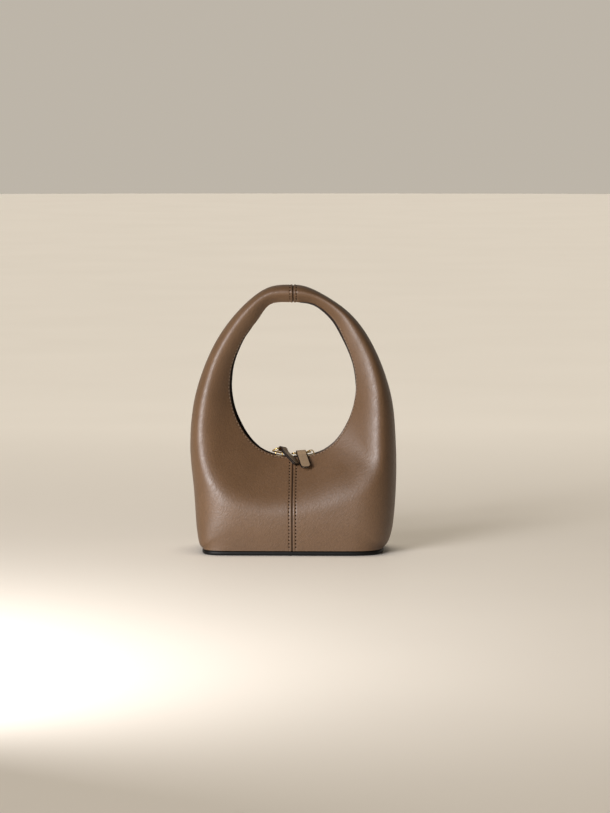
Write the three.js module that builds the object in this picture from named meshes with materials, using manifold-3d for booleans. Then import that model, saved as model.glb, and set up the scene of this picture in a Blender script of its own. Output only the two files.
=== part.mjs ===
// A small leather bag. Two leather halves stand on a firm base, fold over a soft shoulder
// and close into a round loop handle. A zip with two sliders shuts the mouth that runs
// along the inside of the loop.
//
// Millimetres. X runs to the right of the front, Y to the back and Z up. The origin is the
// middle of the underside of the base.

import * as THREE from "three";
import { ParametricGeometry } from "three/addons/geometries/ParametricGeometry.js";
import { mergeGeometries, mergeVertices } from "three/addons/utils/BufferGeometryUtils.js";
import Module from "manifold-3d";

const wasm = await Module();
wasm.setup();

// Signs of the two halves along X and of the two faces along Y
const LEFT = -1;
const RIGHT = 1;
const FRONT = -1;
const BACK = 1;

// Leather and fit
const WALL = 1.8; // leather with its backing
const FIT = 0.3; // air between sewn pieces
const SEAM_GAP = 0.4; // between the two halves at the centre seams

// Base
const BASE_HALF_LENGTH = 91;
const BASE_HALF_DEPTH = 42;
const BASE_TURN = 45; // length over which the base narrows to its end
const BASE_SQUARE = { [LEFT]: 5, [RIGHT]: 3.4 }; // boxiness of that turn, 2 being round
const BASE_BEND_LENGTH = 69; // leather along that turn
const BASE_THICK = 4.4;
const BASE_ROUND = 1.5; // rounding of the base's edge
const BASE_LIP = 0.6; // the base stands out this far past the leather
const PANEL_FOOT = BASE_THICK + FIT;

// Zip
const TAPE_THICK = 1;
const TAPE_INSET = 2.4; // from the leather edge to the tape between the edges
const TAPE_LAP = 7; // tape sewn behind the leather
const CHAIN_HALF = 2.3;
const CHAIN_ABOVE = 0.5; // teeth above the tape
const CHAIN_BELOW = 1.5;
const ZIP_END = 10; // section row where the zip stops on each arm
const MOUTH_HALF = 165; // leather edge from the bottom of the mouth to the end of the zip

// Sliders, links and tabs
const SLIDER = { length: 10, width: 7.4, plate: 1.2, post: 2.6, postWidth: 3.2, corner: 2 };
const BRIDGE = { length: 8, width: 1.6, height: 5.6, hold: 3.05, bar: 1, corner: 3.4, innerCorner: 2.5 };
const LINK = { length: 20, width: 8.6, wire: 1.5, corner: 2, round: 0.4 };
const TAB = { width: 9.6, length: 24, thick: 2.6, corner: 3.2, skin: 1.2 };

// Sections of each half, from the front centre seam (first) round the loop to the seam on
// top of the handle (last). A section runs in front view from the edge of the mouth to the
// rim, which is the outline of the base for the first rows and the outer fold after that.
//   edge   x and z of the leather edge at the mouth
//   base   how far round the quarter outline of the base the section ends, 0 to 1
//   rim    x and z of the outer fold
//   gap    half the space between front and back edge
//   slope  depth gained for each millimetre away from the edge
//   soft   width of the bend where the sloping leather turns into the upright wall
//   lap    how far the back edge shows inside the front edge
const LEFT_ROWS = [
  { edge: [0, 95.8], base: 0, gap: 6.5, slope: 0.9, soft: 10, lap: 0 },
  { edge: [15, 97], base: 0.24, gap: 6.5, slope: 0.84, soft: 8.5, lap: 0 },
  { edge: [28.5, 101.4], base: 0.45, gap: 6.5, slope: 0.79, soft: 8, lap: 0.2 },
  { edge: [38.8, 108.4], base: 0.63, gap: 6.5, slope: 0.73, soft: 8.5, lap: 0.7 },
  { edge: [46.8, 117], base: 0.81, gap: 6.5, slope: 0.68, soft: 11, lap: 1.4 },
  { edge: [53, 127], base: 1, gap: 6.5, slope: 0.69, soft: 15, lap: 2.1 },
  { edge: [58, 137.5], rim: [96.6, 22], gap: 6.4, slope: 0.75, soft: 17, lap: 2.7 },
  { edge: [61.8, 151], rim: [99.8, 62], gap: 6.2, slope: 0.9, soft: 17, lap: 3 },
  { edge: [63.4, 167], rim: [103.6, 108], gap: 6, slope: 1.05, soft: 16, lap: 3 },
  { edge: [60.4, 189], rim: [98.6, 156], gap: 5.6, slope: 1.12, soft: 15, lap: 2.2 },
  { edge: [50, 213], rim: [81.8, 203], gap: 4.8, slope: 1.16, soft: 12, lap: 0.8 },
  { edge: [36, 231.5], rim: [58, 238.5], gap: 2.2, slope: 1.2, soft: 10, lap: 0 },
  { edge: [22.5, 248], rim: [28.5, 263.6], gap: 1.8, slope: 1.3, soft: 6, lap: 0 },
  { edge: [0, 250], rim: [0, 268], gap: 1.8, slope: 1.3, soft: 6, lap: 0 },
];
const RIGHT_ROWS = [
  { edge: [0, 95.8], base: 0, gap: 6.5, slope: 0.9, soft: 10, lap: 0 },
  { edge: [15, 97], base: 0.24, gap: 6.5, slope: 1, soft: 15, lap: 0 },
  { edge: [28.5, 101.4], base: 0.45, gap: 6.5, slope: 1, soft: 15, lap: 0 },
  { edge: [38.8, 108.4], base: 0.63, gap: 6.5, slope: 0.82, soft: 11, lap: 0 },
  { edge: [46.4, 117], base: 0.81, gap: 6.5, slope: 0.71, soft: 10, lap: 0 },
  { edge: [52.4, 127], base: 1, gap: 6.5, slope: 0.82, soft: 13, lap: 0 },
  { edge: [57.2, 137.5], rim: [99, 21], gap: 6.4, slope: 1, soft: 16, lap: 0 },
  { edge: [61, 151], rim: [103, 60], gap: 6.2, slope: 1.1, soft: 16, lap: 0.2 },
  { edge: [62.8, 167], rim: [103.2, 106], gap: 6, slope: 1.04, soft: 16, lap: 0.7 },
  { edge: [60, 189], rim: [98.4, 156], gap: 5.6, slope: 0.95, soft: 16, lap: 1.5 },
  { edge: [51, 213], rim: [82, 203], gap: 4.8, slope: 0.98, soft: 13, lap: 2.2 },
  { edge: [39, 234], rim: [58.6, 237.5], gap: 2.2, slope: 1.1, soft: 8, lap: 2 },
  { edge: [21, 248], rim: [25, 261], gap: 1.8, slope: 1.3, soft: 6, lap: 1 },
  { edge: [0, 250], rim: [0, 268], gap: 1.8, slope: 1.3, soft: 6, lap: 0 },
];
const LAST_ROW = LEFT_ROWS.length - 1;
const BASE_ROW = LEFT_ROWS.filter((row) => row.base !== undefined).length - 1;

// The upright wall at even heights from the foot of the panels to the top of the handle. At
// its foot it follows the base.
//   depth  half depth of the bag there
//   round  how far in from the outer fold the wall starts to turn
//   square how boxy that turn is, 2 being round
const wallRows = (side) => [
  { depth: BASE_HALF_DEPTH - BASE_LIP, round: BASE_TURN, square: BASE_SQUARE[side] },
  { depth: 46, round: 47, square: 3 },
  { depth: 45.5, round: 46, square: 2.8 },
  { depth: 41.5, round: 40, square: 2.6 },
  { depth: 35.5, round: 34, square: 2.5 },
  { depth: 29.5, round: 28, square: 2.4 },
  { depth: 23.5, round: 22, square: 2.3 },
  { depth: 18, round: 16, square: 2.2 },
  { depth: 13.5, round: 11, square: 2.2 },
  { depth: 11, round: 9, square: 2.2 },
];
const WALL_ROWS = { [LEFT]: wallRows(LEFT), [RIGHT]: wallRows(RIGHT) };
const TOP = LEFT_ROWS[LAST_ROW].rim[1];

// The outer fold leaves the base at this slant, outwards and up.
const FOOT_SLANT = { [LEFT]: [18, -5], [RIGHT]: [14, -3] };

// Fineness of the surfaces
const STEPS_PER_ROW = 3; // along the loop
const STEPS_ACROSS = 11; // from the mouth to the rim
const CROWDING = 2.2; // the steps across close up towards the outer fold
const CURVE_STEPS = 160; // along each half of the mouth and of the outer fold
const NEAR = 0.5; // places on the mouth this much farther than the nearest still count
const BASE_STEPS = 15; // along a quarter of the base
const CHAIN_STEPS = 26;
const EYE_STEPS = 10; // round the fold of a tab
const WELD = 1e-4; // points this close are one point

// Catmull-Rom value at row number u. An even column is mirrored past its ends, an odd one
// runs straight on, and a given first ghost value sets the start.
function along(values, u, odd = false, first = undefined) {
  const last = values.length - 1;
  const i = Math.min(Math.floor(u), last - 1);
  const f = u - i;
  const ghost = (end, next) => (odd ? 2 * values[end] - values[next] : values[next]);
  const a = i > 0 ? values[i - 1] : (first ?? ghost(0, 1));
  const b = values[i];
  const c = values[i + 1];
  const d = i + 2 <= last ? values[i + 2] : ghost(last, last - 1);
  const bend = (2 * a - 5 * b + 4 * c - d) * f ** 2 + (3 * b - a - 3 * c + d) * f ** 3;
  return b + 0.5 * ((c - a) * f + bend);
}

// Quarter turn of the plan: 0 at the outer fold, 1 once the turn is done.
function turn(distance, round, square) {
  const left = Math.max(1 - distance / round, 0);
  return (1 - left ** square) ** (1 / square);
}

// Point on a quarter of the base's outline, from the front centre (0) to the end (1).
function baseOutline(side, share, inset) {
  const straight = BASE_HALF_LENGTH - BASE_TURN;
  const bent = BASE_BEND_LENGTH;
  const run = share * (straight + bent);
  const depth = BASE_HALF_DEPTH - inset;
  if (run <= straight) return [run, depth];
  const angle = ((run - straight) / bent) * (Math.PI / 2);
  const power = 2 / BASE_SQUARE[side];
  const x = straight + (BASE_TURN - inset) * Math.sin(angle) ** power;
  return [x, depth * Math.max(Math.cos(angle), 0) ** power];
}

const rowsOf = (side) => (side === LEFT ? LEFT_ROWS : RIGHT_ROWS);

// Leather edge of a half at row u, as x and z.
function edgeAt(side, u) {
  const rows = rowsOf(side);
  return [along(rows.map((row) => row.edge[0]), u, true), along(rows.map((row) => row.edge[1]), u)];
}

// Rim of a half at row u, as x and z.
function rimAt(side, u) {
  const rows = rowsOf(side);
  if (u <= BASE_ROW) {
    const share = along(rows.slice(0, BASE_ROW + 1).map((row) => row.base), u, true);
    return [baseOutline(side, Math.min(Math.max(share, 0), 1), BASE_LIP)[0], PANEL_FOOT];
  }
  const slant = FOOT_SLANT[side];
  const foot = [baseOutline(side, 1, BASE_LIP)[0], PANEL_FOOT];
  const fold = [foot, ...rows.slice(BASE_ROW + 1).map((row) => row.rim)];
  const v = u - BASE_ROW;
  const x = along(fold.map((p) => p[0]), v, true, foot[0] - slant[0]);
  return [x, along(fold.map((p) => p[1]), v, false, foot[1] - slant[1])];
}

// The curves of the front view that the depth is measured from: the edge of the mouth and
// the outer fold, each running over the top from the left half to the right one.
function frontCurve(at, first) {
  const spots = [];
  for (let i = -CURVE_STEPS; i <= CURVE_STEPS; i++) {
    const side = i < 0 ? LEFT : RIGHT;
    const [x, z] = at(side, THREE.MathUtils.lerp(LAST_ROW, first, Math.abs(i) / CURVE_STEPS));
    spots.push([side * x, z]);
  }
  return spots;
}
const MOUTH_CURVE = frontCurve(edgeAt, 0);
const MOUTH_ROWS = MOUTH_CURVE.map((_, i) => LAST_ROW * (1 - Math.abs(i / CURVE_STEPS - 1)));
const FOLD_CURVE = frontCurve(rimAt, BASE_ROW);

// Shortest way from a place of the front view to a curve.
function distance(curve, x, z) {
  let shortest = Infinity;
  for (let i = 1; i < curve.length; i++) {
    const [ax, az] = curve[i - 1];
    const [dx, dz] = [curve[i][0] - ax, curve[i][1] - az];
    const share = ((x - ax) * dx + (z - az) * dz) / (dx * dx + dz * dz);
    const f = THREE.MathUtils.clamp(share, 0, 1);
    shortest = Math.min(shortest, Math.hypot(x - ax - f * dx, z - az - f * dz));
  }
  return shortest;
}

// Row of the mouth's edge that lies nearest to a place of the front view: the mean of all its
// rows, weighted by how little farther than the nearest they lie.
function nearestRow(x, z) {
  const ways = MOUTH_CURVE.map(([ax, az]) => Math.hypot(x - ax, z - az));
  const shortest = Math.min(...ways);
  const weights = ways.map((way) => Math.exp((shortest - way) / NEAR));
  const total = weights.reduce((sum, weight) => sum + weight);
  return weights.reduce((sum, weight, i) => sum + weight * MOUTH_ROWS[i], 0) / total;
}

// Half depth of the bag at a place of the front view. The leather slopes away from the edge
// of the mouth until it meets the upright wall, and the bend between them is softened.
function halfDepth(side, x, z, inMouth) {
  const rows = WALL_ROWS[side];
  const level = ((z - PANEL_FOOT) / (TOP - PANEL_FOOT)) * (rows.length - 1);
  const upright = (name) => along(rows.map((row) => row[name]), Math.max(level, 0), true);
  const fold = distance(FOLD_CURVE, x, z);
  const wall = upright("depth") * turn(fold, upright("round"), upright("square"));
  const u = nearestRow(x, z);
  const column = (name) => along(rowsOf(side).map((row) => row[name]), u);
  const roof = column("gap") + (inMouth ? 0 : column("slope") * distance(MOUTH_CURVE, x, z));
  const soft = column("soft");
  const h = THREE.MathUtils.clamp(0.5 + (0.5 * (roof - wall)) / soft, 0, 1);
  return THREE.MathUtils.lerp(roof, wall, h) - soft * h * (1 - h);
}

// Point on the outside of a half. u is the section, w runs from the mouth (0) to the rim (1).
function leather(side, face, u, w) {
  const [edgeX, edgeZ] = edgeAt(side, u);
  const [rimX, rimZ] = rimAt(side, u);
  const lapHere = Math.max(along(rowsOf(side).map((row) => row.lap), u), 0);
  const lap = face === BACK ? lapHere : 0;
  const start = -lap / Math.hypot(rimX - edgeX, rimZ - edgeZ);
  const crowd = THREE.MathUtils.smoothstep(u, BASE_ROW - 2, BASE_ROW);
  const spread = THREE.MathUtils.lerp(w, 1 - (1 - w) ** CROWDING, crowd);
  const s = THREE.MathUtils.lerp(start, 1, spread);
  const x = edgeX + s * (rimX - edgeX);
  const z = edgeZ + s * (rimZ - edgeZ);
  const closing = w === 1 && u >= BASE_ROW;
  const y = closing ? 0 : halfDepth(side, side * x, z, s <= 0);
  return new THREE.Vector3(side * (x + SEAM_GAP / 2), face * y, z);
}

// Outward normal of a half. It lies in the seam plane at both seams and in the middle plane
// along the outer fold, so that neighbouring pieces meet cleanly.
function leatherNormal(side, face, u, w) {
  const du = 0.02;
  const dw = 0.01;
  const [u0, u1] = [Math.max(u - du, 0), Math.min(u + du, LAST_ROW)];
  const [w0, w1] = [Math.max(w - dw, 0), Math.min(w + dw, 1)];
  const alongU = leather(side, face, u1, w).sub(leather(side, face, u0, w));
  const alongW = leather(side, face, u, w1).sub(leather(side, face, u, w0));
  const normal = alongU.cross(alongW).multiplyScalar(side * face);
  if (u === 0 || u === LAST_ROW) normal.x = 0;
  if (w === 1 && u >= BASE_ROW) normal.y = 0;
  return normal.normalize();
}

// Point inside the leather, a given depth below its outer face. Front and back share the
// points along the outer fold.
function below(side, face, u, w, depth) {
  const sheet = w === 1 && u >= BASE_ROW ? FRONT : face;
  const point = leather(side, sheet, u, w);
  point.addScaledVector(leatherNormal(side, sheet, u, w), -depth);
  point.z = Math.max(point.z, PANEL_FOOT);
  return point;
}

// A surface patch from a function of two shares, each cell split along its shorter diagonal.
// Turning it swaps the two directions.
function patch(surface, nu, nv, turned) {
  const place = (u, v, target) => target.copy(turned ? surface(v, u) : surface(u, v));
  const [columns, lines] = turned ? [nv, nu] : [nu, nv];
  const spots = new ParametricGeometry(place, columns, lines).attributes.position;
  const spot = (i) => new THREE.Vector3().fromBufferAttribute(spots, i);
  const index = [];
  for (let line = 0; line < lines; line++) {
    for (let column = 0; column < columns; column++) {
      const a = line * (columns + 1) + column;
      const [b, c, d] = [a + 1, a + columns + 2, a + columns + 1];
      const straight = spot(a).distanceTo(spot(c)) < spot(b).distanceTo(spot(d));
      index.push(...(straight ? [a, b, c, a, c, d] : [a, b, d, b, c, d]));
    }
  }
  return new THREE.BufferGeometry().setAttribute("position", spots).setIndex(index);
}

// Patches for a sheet with an outer and an inner face and closed sides. The side at v = 1
// runs only over the first farSteps steps, where the sheet ends there.
function thickSheet(outer, inner, nu, nv, turned, farSteps = nu) {
  const between = (surface) => (u, v) => surface(outer, u).lerp(surface(inner, u), v);
  const far = farSteps / nu;
  const sides = [
    patch(between((face, u) => face(u, 0)), nu, 1, !turned),
    patch(between((face, v) => face(0, v)), nv, 1, turned),
    patch(between((face, v) => face(1, v)), nv, 1, !turned),
  ];
  if (farSteps > 0) sides.push(patch(between((face, u) => face(u * far, 1)), farSteps, 1, turned));
  return [patch(outer, nu, nv, turned), patch(inner, nu, nv, !turned), ...sides];
}

function closed(patches) {
  return mergeVertices(mergeGeometries(patches), WELD);
}

// One leather half: front and back sheets that share the outer fold above the base.
function panelGeometry(side) {
  const steps = LAST_ROW * STEPS_PER_ROW;
  const sheets = [FRONT, BACK].map((face) =>
    thickSheet(
      (u, w) => leather(side, face, u * LAST_ROW, w),
      (u, w) => below(side, face, u * LAST_ROW, w, WALL),
      steps,
      STEPS_ACROSS,
      side * face < 0,
      BASE_ROW * STEPS_PER_ROW,
    ),
  );
  return closed(sheets.flat());
}

// Rounded rectangle for plates, links and tabs.
function roundedRect(length, width, r, ShapeClass = THREE.Shape) {
  const [x, y] = [length / 2, width / 2];
  const shape = new ShapeClass();
  shape.moveTo(-x + r, -y);
  shape.lineTo(x - r, -y);
  shape.absarc(x - r, -y + r, r, -Math.PI / 2, 0);
  shape.lineTo(x, y - r);
  shape.absarc(x - r, y - r, r, 0, Math.PI / 2);
  shape.lineTo(-x + r, y);
  shape.absarc(-x + r, y - r, r, Math.PI / 2, Math.PI);
  shape.lineTo(-x, -y + r);
  shape.absarc(-x + r, -y + r, r, Math.PI, 1.5 * Math.PI);
  return shape;
}

function baseGeometry() {
  const quarters = [
    { x: RIGHT, y: FRONT, outwards: true },
    { x: RIGHT, y: BACK, outwards: false },
    { x: LEFT, y: BACK, outwards: true },
    { x: LEFT, y: FRONT, outwards: false },
  ];
  const spots = [];
  for (const quarter of quarters) {
    for (let i = 0; i < BASE_STEPS; i++) {
      const share = i / BASE_STEPS;
      const [x, y] = baseOutline(quarter.x, quarter.outwards ? share : 1 - share, BASE_ROUND);
      spots.push(new THREE.Vector2(quarter.x * x, quarter.y * y));
    }
  }
  const plate = new THREE.ExtrudeGeometry(new THREE.Shape(spots), {
    depth: BASE_THICK - 2 * BASE_ROUND,
    bevelThickness: BASE_ROUND,
    bevelSize: BASE_ROUND,
    bevelSegments: 2,
  });
  return plate.translate(0, 0, BASE_ROUND);
}

// The mouth as one run: q goes from the left end of the zip (-1) over the bottom (0) to the
// right end (1).
function mouth(q) {
  return { side: q < 0 ? LEFT : RIGHT, u: Math.abs(q) * ZIP_END };
}

// Point a given way down from the leather edge, behind the leather.
function behindEdge(face, q, run, depth) {
  const { side, u } = mouth(q);
  const probe = 0.02;
  const speed = leather(side, face, u, probe).distanceTo(leather(side, face, u, 0)) / probe;
  const point = below(side, face, u, run / speed, depth);
  point.x -= side * (SEAM_GAP / 2);
  return point;
}

// Middle of the zip, its direction along the mouth and the way into the bag.
function zipFrame(q) {
  const middle = (at) =>
    behindEdge(FRONT, at, TAPE_INSET, WALL + FIT)
      .add(behindEdge(BACK, at, TAPE_INSET, WALL + FIT))
      .multiplyScalar(0.5)
      .setY(0);
  const step = 0.01;
  const [q0, q1] = [Math.max(q - step, -1), Math.min(q + step, 1)];
  const tangent = middle(q1).sub(middle(q0)).normalize();
  const inward = new THREE.Vector3(tangent.z, 0, -tangent.x);
  return { origin: middle(q), tangent, inward };
}

// Tape: a strip between the edges that turns down behind the leather.
const TAPE_DEPTH = WALL + 2 * FIT;
function tapeGeometry(face) {
  const outer = (u, v) => {
    const q = 2 * u - 1;
    if (v === 0) return zipFrame(q).origin.setY(face * (CHAIN_HALF + FIT));
    return behindEdge(face, q, v === 1 ? TAPE_LAP : TAPE_INSET, TAPE_DEPTH);
  };
  const inner = (u, v) => {
    const q = 2 * u - 1;
    if (v === 0) return outer(u, v).addScaledVector(zipFrame(q).inward, TAPE_THICK);
    const run = v === 1 ? TAPE_LAP : TAPE_INSET + TAPE_THICK;
    return behindEdge(face, q, run, TAPE_DEPTH + TAPE_THICK);
  };
  return closed(thickSheet(outer, inner, 2 * ZIP_END * STEPS_PER_ROW, 2, face < 0));
}

// Closed teeth between two places on the mouth.
function chainGeometry(from, to) {
  const strip = (level) => (u, v) => {
    const { origin, inward } = zipFrame(THREE.MathUtils.lerp(from, to, u));
    return origin.addScaledVector(inward, level).setY(CHAIN_HALF * (2 * v - 1));
  };
  return closed(thickSheet(strip(-CHAIN_ABOVE), strip(CHAIN_BELOW), CHAIN_STEPS, 1, false));
}

// Joining and cutting of closed solids.
function solidOf(geometry) {
  const plain = new THREE.BufferGeometry();
  plain.setAttribute("position", geometry.attributes.position);
  if (geometry.index) plain.setIndex(geometry.index);
  const merged = mergeVertices(plain, WELD);
  const triVerts = new Uint32Array(merged.index.array);
  return new wasm.Manifold(
    new wasm.Mesh({ numProp: 3, vertProperties: merged.attributes.position.array, triVerts }),
  );
}

function geometryOf(solid) {
  const mesh = solid.getMesh();
  const positions = new THREE.BufferAttribute(new Float32Array(mesh.vertProperties), 3);
  return new THREE.BufferGeometry()
    .setAttribute("position", positions)
    .setIndex(new THREE.BufferAttribute(new Uint32Array(mesh.triVerts), 1));
}

function extruded(shape, depth, curveSegments = 3) {
  return new THREE.ExtrudeGeometry(shape, { depth, curveSegments, bevelEnabled: false });
}

// Slider in its own frame: X along the zip with the post at +X, Z out of the bag, origin on
// the outer face of the tape. Two plates hold the tape, a post joins them and a bridge on
// top carries the link.
const PLATE_FOOT = CHAIN_ABOVE + 2 * FIT;
const PLATE_TOP = PLATE_FOOT + SLIDER.plate;
const BRIDGE_HOLD = PLATE_TOP + BRIDGE.hold; // where the link passes under the bridge
function sliderGeometry() {
  const outline = roundedRect(SLIDER.length, SLIDER.width, SLIDER.corner);
  const lowest = -CHAIN_BELOW - 2 * FIT - SLIDER.plate;
  const top = extruded(outline, SLIDER.plate).translate(0, 0, PLATE_FOOT);
  const bottom = extruded(outline, SLIDER.plate).translate(0, 0, lowest);
  const post = new THREE.BoxGeometry(SLIDER.post, SLIDER.postWidth, PLATE_TOP - lowest);
  post.translate(SLIDER.length / 2 - SLIDER.post, 0, (PLATE_TOP + lowest) / 2);
  const arch = roundedRect(BRIDGE.length, 2 * BRIDGE.height, BRIDGE.corner);
  const bars = 2 * BRIDGE.bar;
  arch.holes.push(
    roundedRect(BRIDGE.length - bars, 2 * BRIDGE.height - bars, BRIDGE.innerCorner, THREE.Path),
  );
  const bridge = extruded(arch, BRIDGE.width).translate(0, 0, -BRIDGE.width / 2);
  bridge.rotateX(Math.PI / 2).translate(0, 0, PLATE_TOP - FIT);
  const under = new THREE.BoxGeometry(BRIDGE.length * 2, BRIDGE.width * 2, BRIDGE.height * 2);
  under.translate(0, 0, PLATE_FOOT - BRIDGE.height + SLIDER.plate / 2);
  const loop = solidOf(bridge).subtract(solidOf(under));
  return geometryOf(solidOf(top).add(solidOf(bottom)).add(solidOf(post)).add(loop));
}

// Link in its own frame: a flat ring in the XY plane with rounded edges.
function linkGeometry() {
  const round = LINK.round;
  const ring = roundedRect(LINK.length - 2 * round, LINK.width - 2 * round, LINK.corner);
  const wall = 2 * (LINK.wire - round);
  ring.holes.push(
    roundedRect(LINK.length - wall, LINK.width - wall, LINK.corner - round, THREE.Path),
  );
  const made = new THREE.ExtrudeGeometry(ring, {
    depth: LINK.wire - 2 * round,
    curveSegments: 2,
    bevelThickness: round,
    bevelSize: round,
    bevelSegments: 1,
  });
  return made.translate(0, 0, round - LINK.wire / 2);
}

// Tab in its own frame: it hangs along -Z from the link's bar, which runs along X through
// the origin, and its face is turned to -Y.
function tabGeometry() {
  const eye = LINK.wire / 2 + 2 * FIT;
  const fold = eye + TAB.skin;
  const half = TAB.thick / 2;
  const profile = new THREE.Shape();
  profile.moveTo(-half, -TAB.length);
  profile.lineTo(half, -TAB.length);
  profile.lineTo(half, -fold - half);
  profile.lineTo(fold, 0);
  profile.absarc(0, 0, fold, 0, Math.PI);
  profile.lineTo(-half, -fold - half);
  profile.holes.push(new THREE.Path().absarc(0, 0, eye, 0, 2 * Math.PI));
  const strap = extruded(profile, TAB.width, EYE_STEPS).translate(0, 0, -TAB.width / 2);
  strap.rotateX(Math.PI / 2).rotateZ(Math.PI / 2);
  const outline = roundedRect(TAB.width, TAB.length + 4 * fold, TAB.corner);
  const face = extruded(outline, 4 * fold).translate(0, 2 * fold - TAB.length / 2, -2 * fold);
  face.rotateX(Math.PI / 2);
  return geometryOf(solidOf(strap).intersect(solidOf(face)));
}

const LEATHER = { color: 0x7a6150, roughness: 0.5, metalness: 0 };
const DARK_LEATHER = { color: 0x332d2a, roughness: 0.45, metalness: 0 };
const TAPE = { color: 0x1c1712, roughness: 0.9, metalness: 0 };
const GOLD = { color: 0xc9a765, roughness: 0.28, metalness: 1 };

const bag = new THREE.Group();
bag.name = "bag";

function piece(name, geometry, look, parent = bag) {
  const mesh = new THREE.Mesh(geometry, new THREE.MeshStandardMaterial(look));
  mesh.name = name;
  parent.add(mesh);
  return mesh;
}

piece("left_panel", panelGeometry(LEFT), LEATHER);
piece("right_panel", panelGeometry(RIGHT), LEATHER);
piece("base", baseGeometry(), DARK_LEATHER);
piece("zip_tape_front", tapeGeometry(FRONT), TAPE);
piece("zip_tape_back", tapeGeometry(BACK), TAPE);

// How the two sliders stand on the mouth and how their links and tabs lie.
//   at     place along the zip
//   bar    direction of the link's long bars
//   reach  direction from the link's first long bar to the one with the tab
//   hold   where the slider's bridge holds the link, as shares of its half length and width
//   fold   where the tab sits on its bar
//   hang   direction in which the tab hangs
const PULLS = [
  {
    name: "left",
    side: LEFT,
    at: -0.097,
    bar: [0.535, 0.818, -0.213],
    reach: [0.72, -0.5, 0.48],
    hold: [0.4, -1],
    fold: -0.2,
    hang: [0.58, -0.58, -0.57],
  },
  {
    name: "right",
    side: RIGHT,
    at: 0.118,
    bar: [-0.965, -0.235, -0.06],
    reach: [0.05, -0.95, 0.14],
    hold: [-1, 0],
    fold: 0.9,
    hang: [0.26, -0.8, -0.52],
  },
];

function turnTo(object, x, y, origin) {
  const basis = new THREE.Matrix4().makeBasis(x, y, x.clone().cross(y));
  object.setRotationFromMatrix(basis);
  object.position.copy(origin);
}

// The part of a direction that stands square to an axis.
function squareTo(axis, direction) {
  return direction.clone().addScaledVector(axis, -direction.dot(axis)).normalize();
}

for (const pull of PULLS) {
  const { origin, tangent, inward } = zipFrame(pull.at);
  const out = inward.clone().negate();
  const toMiddle = tangent.clone().multiplyScalar(-pull.side);
  const slider = piece("zip_slider_" + pull.name, sliderGeometry(), GOLD);
  turnTo(slider, toMiddle, out.clone().cross(toMiddle), origin);

  const post = (SLIDER.length / 2 - 2 * SLIDER.post) / MOUTH_HALF;
  const end = pull.at + pull.side * post;
  const [from, to] = pull.side === LEFT ? [-1, end] : [end, 1];
  piece("zip_chain_" + pull.name, chainGeometry(from, to), GOLD);

  const bar = new THREE.Vector3(...pull.bar).normalize();
  const reach = squareTo(bar, new THREE.Vector3(...pull.reach));
  const halfLength = (LINK.length - LINK.wire) / 2;
  const halfWidth = (LINK.width - LINK.wire) / 2;
  const middle = origin.clone().addScaledVector(out, BRIDGE_HOLD);
  middle.addScaledVector(bar, -pull.hold[0] * halfLength);
  middle.addScaledVector(reach, -pull.hold[1] * halfWidth);
  turnTo(piece("pull_link_" + pull.name, linkGeometry(), GOLD), bar, reach, middle);

  const hang = squareTo(bar, new THREE.Vector3(...pull.hang));
  const fold = middle.clone().addScaledVector(bar, pull.fold).addScaledVector(reach, halfWidth);
  const tab = piece("pull_tab_" + pull.name, tabGeometry(), LEATHER);
  turnTo(tab, bar, bar.clone().cross(hang), fold);
}

export default bag;
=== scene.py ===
# %% [markdown]
# # A small leather bag with a loop handle
# The bag is sewn from two leather halves that stand on a dark base. Each half runs from the
# front round the side to the back and narrows upwards into half of the handle. A zip shuts
# the mouth inside the loop, and its two sliders carry folded leather pulls.
# The finished solids are loaded first. Every new piece is made in their frame, in metres,
# and stands for the solid of the same name.

import bmesh
import bpy
import numpy as np
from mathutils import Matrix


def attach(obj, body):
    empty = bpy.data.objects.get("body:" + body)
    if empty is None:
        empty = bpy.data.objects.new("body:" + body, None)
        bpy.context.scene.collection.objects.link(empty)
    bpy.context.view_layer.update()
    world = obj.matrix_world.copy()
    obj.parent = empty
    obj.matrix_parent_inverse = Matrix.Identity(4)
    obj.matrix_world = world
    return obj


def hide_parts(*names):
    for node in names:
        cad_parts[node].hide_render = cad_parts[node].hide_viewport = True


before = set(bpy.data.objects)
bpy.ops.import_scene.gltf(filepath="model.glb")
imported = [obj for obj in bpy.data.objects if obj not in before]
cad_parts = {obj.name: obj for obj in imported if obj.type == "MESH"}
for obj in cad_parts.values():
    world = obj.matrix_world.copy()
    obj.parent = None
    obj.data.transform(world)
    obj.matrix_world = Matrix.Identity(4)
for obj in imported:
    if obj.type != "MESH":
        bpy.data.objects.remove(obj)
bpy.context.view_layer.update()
MM = 0.001
print("solids:", sorted(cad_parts))

# %% [markdown]
# ## Camera
# The picture was taken from about three metres with a long lens, a little above the bag and
# almost straight in front of it. A long lens keeps the sides of the bag nearly parallel.
# The place is worked out from the height of the base's far edge and the width of the bag.

# %% Camera
PHOTO_HEIGHT = 813  # pixels, the long side of the frame
FOCAL_PIXELS = 3200
SENSOR = 36.0  # millimetres
CAMERA_AWAY = 3.2  # metres from the middle of the bag
CAMERA_HEIGHT = 0.455
CAMERA_SWING = np.radians(1.5)  # round the bag, towards its right
CAMERA_PITCH = np.radians(5.525)  # down
CAMERA_YAW = np.radians(-0.21)  # the bag stands a little left of the middle

camera = bpy.data.objects.new("camera", bpy.data.cameras.new("camera"))
camera.data.sensor_width = SENSOR
camera.data.lens = FOCAL_PIXELS / PHOTO_HEIGHT * SENSOR
camera.location = (
    CAMERA_AWAY * np.sin(CAMERA_SWING),
    -CAMERA_AWAY * np.cos(CAMERA_SWING),
    CAMERA_HEIGHT,
)
camera.rotation_euler = (np.pi / 2 - CAMERA_PITCH, 0, CAMERA_SWING + CAMERA_YAW)
bpy.context.scene.collection.objects.link(camera)
bpy.context.scene.camera = camera
print("lens in mm:", round(camera.data.lens, 1))

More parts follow.
